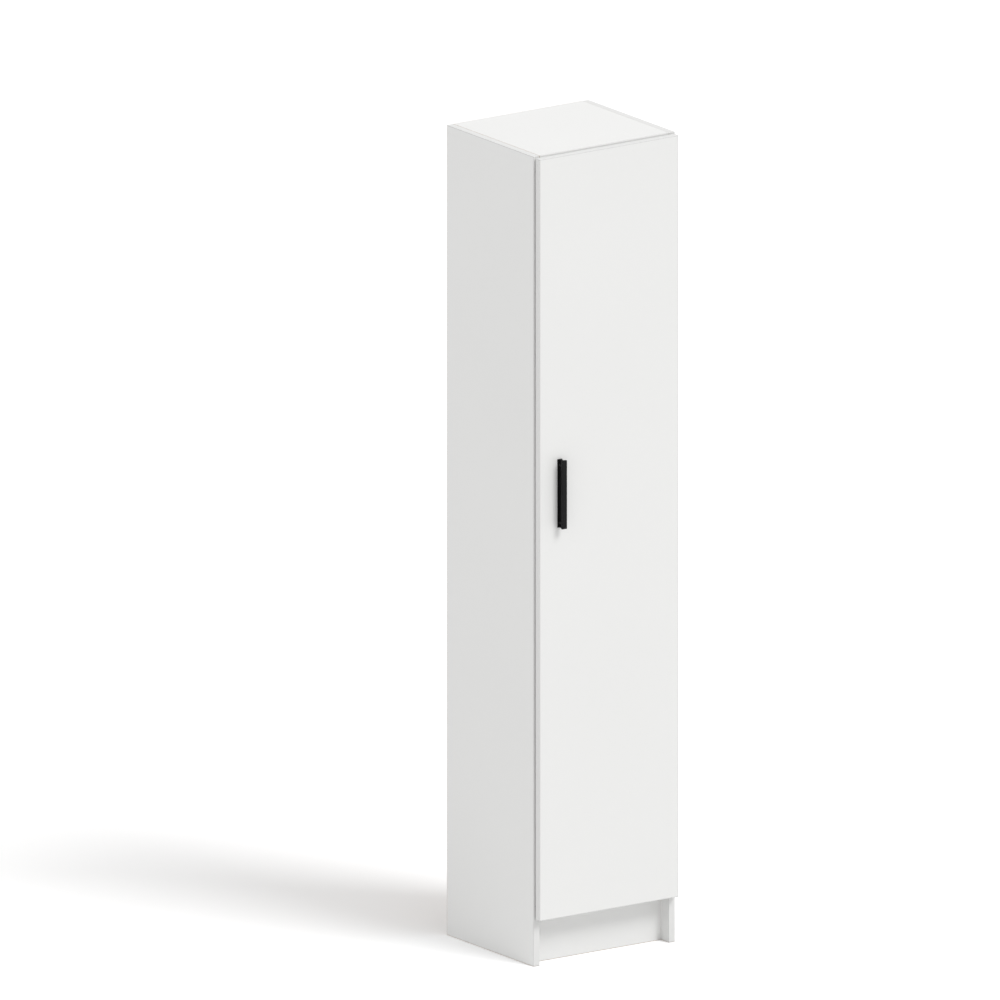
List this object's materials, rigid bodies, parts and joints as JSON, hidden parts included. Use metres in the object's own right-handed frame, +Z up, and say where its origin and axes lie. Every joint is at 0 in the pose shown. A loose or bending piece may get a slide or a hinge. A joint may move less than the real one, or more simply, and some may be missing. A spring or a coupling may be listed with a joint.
{
  "type": "storage cabinet",
  "caption": "Tall narrow storage cabinet with a hinged door, an upright bar handle, a recessed plinth, shelves on pins and concealed hinges.",
  "frame": {"origin": "on the floor, in the middle of the closed cabinet's bounding box, handle included", "axes": "+X to the right as seen from the front, +Y to the rear, +Z up"},
  "size_m": [0.37, 0.364, 1.8],
  "materials": {
    "white_board": "white melamine, satin",
    "back_board": "fibreboard, white inside and brown outside",
    "black_metal": "black powder coat, satin",
    "zinc_steel": "zinc plated",
    "nickel_steel": "nickel plated",
    "dowel_wood": "raw beech",
    "white_plastic": "moulded",
    "clear_rubber": "soft, clear"
  },
  "bodies": {
    "carcass": {"left_side_panel": "white_board", "right_side_panel": "white_board", "top_panel": "white_board", "bottom_panel": "white_board", "fixed_shelf": "white_board", "lower_shelf": "white_board", "middle_shelf": "white_board", "upper_shelf": "white_board", "plinth_board": "white_board", "back_panel": "back_board", "cam_locks": "zinc_steel", "cam_bolts": "zinc_steel", "board_dowels": "dowel_wood", "plinth_dowels": "dowel_wood", "shelf_pins": "nickel_steel", "plinth_blocks": "white_plastic", "plinth_block_screws": "zinc_steel", "wall_bracket": "zinc_steel", "wall_bracket_screws": "zinc_steel", "hinge_arm_pins": "nickel_steel", "hinge_plate_screws": "nickel_steel", "hinge_adjusters": "nickel_steel", "lower_hinge_arm": "nickel_steel", "lower_hinge_plate": "nickel_steel", "middle_hinge_arm": "nickel_steel", "middle_hinge_plate": "nickel_steel", "upper_hinge_arm": "nickel_steel", "upper_hinge_plate": "nickel_steel"},
    "outer_links": {"lower_hinge_outer_link": "nickel_steel", "middle_hinge_outer_link": "nickel_steel", "upper_hinge_outer_link": "nickel_steel"},
    "inner_links": {"lower_hinge_inner_link": "nickel_steel", "middle_hinge_inner_link": "nickel_steel", "upper_hinge_inner_link": "nickel_steel"},
    "door": {"door_panel": "white_board", "handle": "black_metal", "handle_screws": "zinc_steel", "door_bumpers": "clear_rubber", "hinge_cup_pins": "nickel_steel", "hinge_cup_screws": "nickel_steel", "lower_hinge_cup": "nickel_steel", "middle_hinge_cup": "nickel_steel", "upper_hinge_cup": "nickel_steel"}
  },
  "joints": [
    {"name": "outer_link_pivot", "type": "hinge", "parent": "carcass", "child": "outer_links", "pos_m": [0.14686, -0.14556, 0.95], "axis": [0, 0, 1], "range_deg": [-31.7, 0]},
    {"name": "door_pivot", "type": "hinge", "parent": "outer_links", "child": "door", "pos_m": [0.17022, -0.14785, 0.95], "axis": [0, 0, 1], "range_deg": [0, 126.67]},
    {"name": "inner_link_pivot", "type": "hinge", "parent": "carcass", "child": "inner_links", "pos_m": [0.15044, -0.15483, 0.95], "axis": [0, 0, 1], "range_deg": [-16.5, 0]}
  ],
  "couplings": [
    {"joint": "outer_link_pivot", "follows": "door_pivot", "ratio": -0.25},
    {"joint": "inner_link_pivot", "follows": "door_pivot", "ratio": -0.12986}
  ]
}
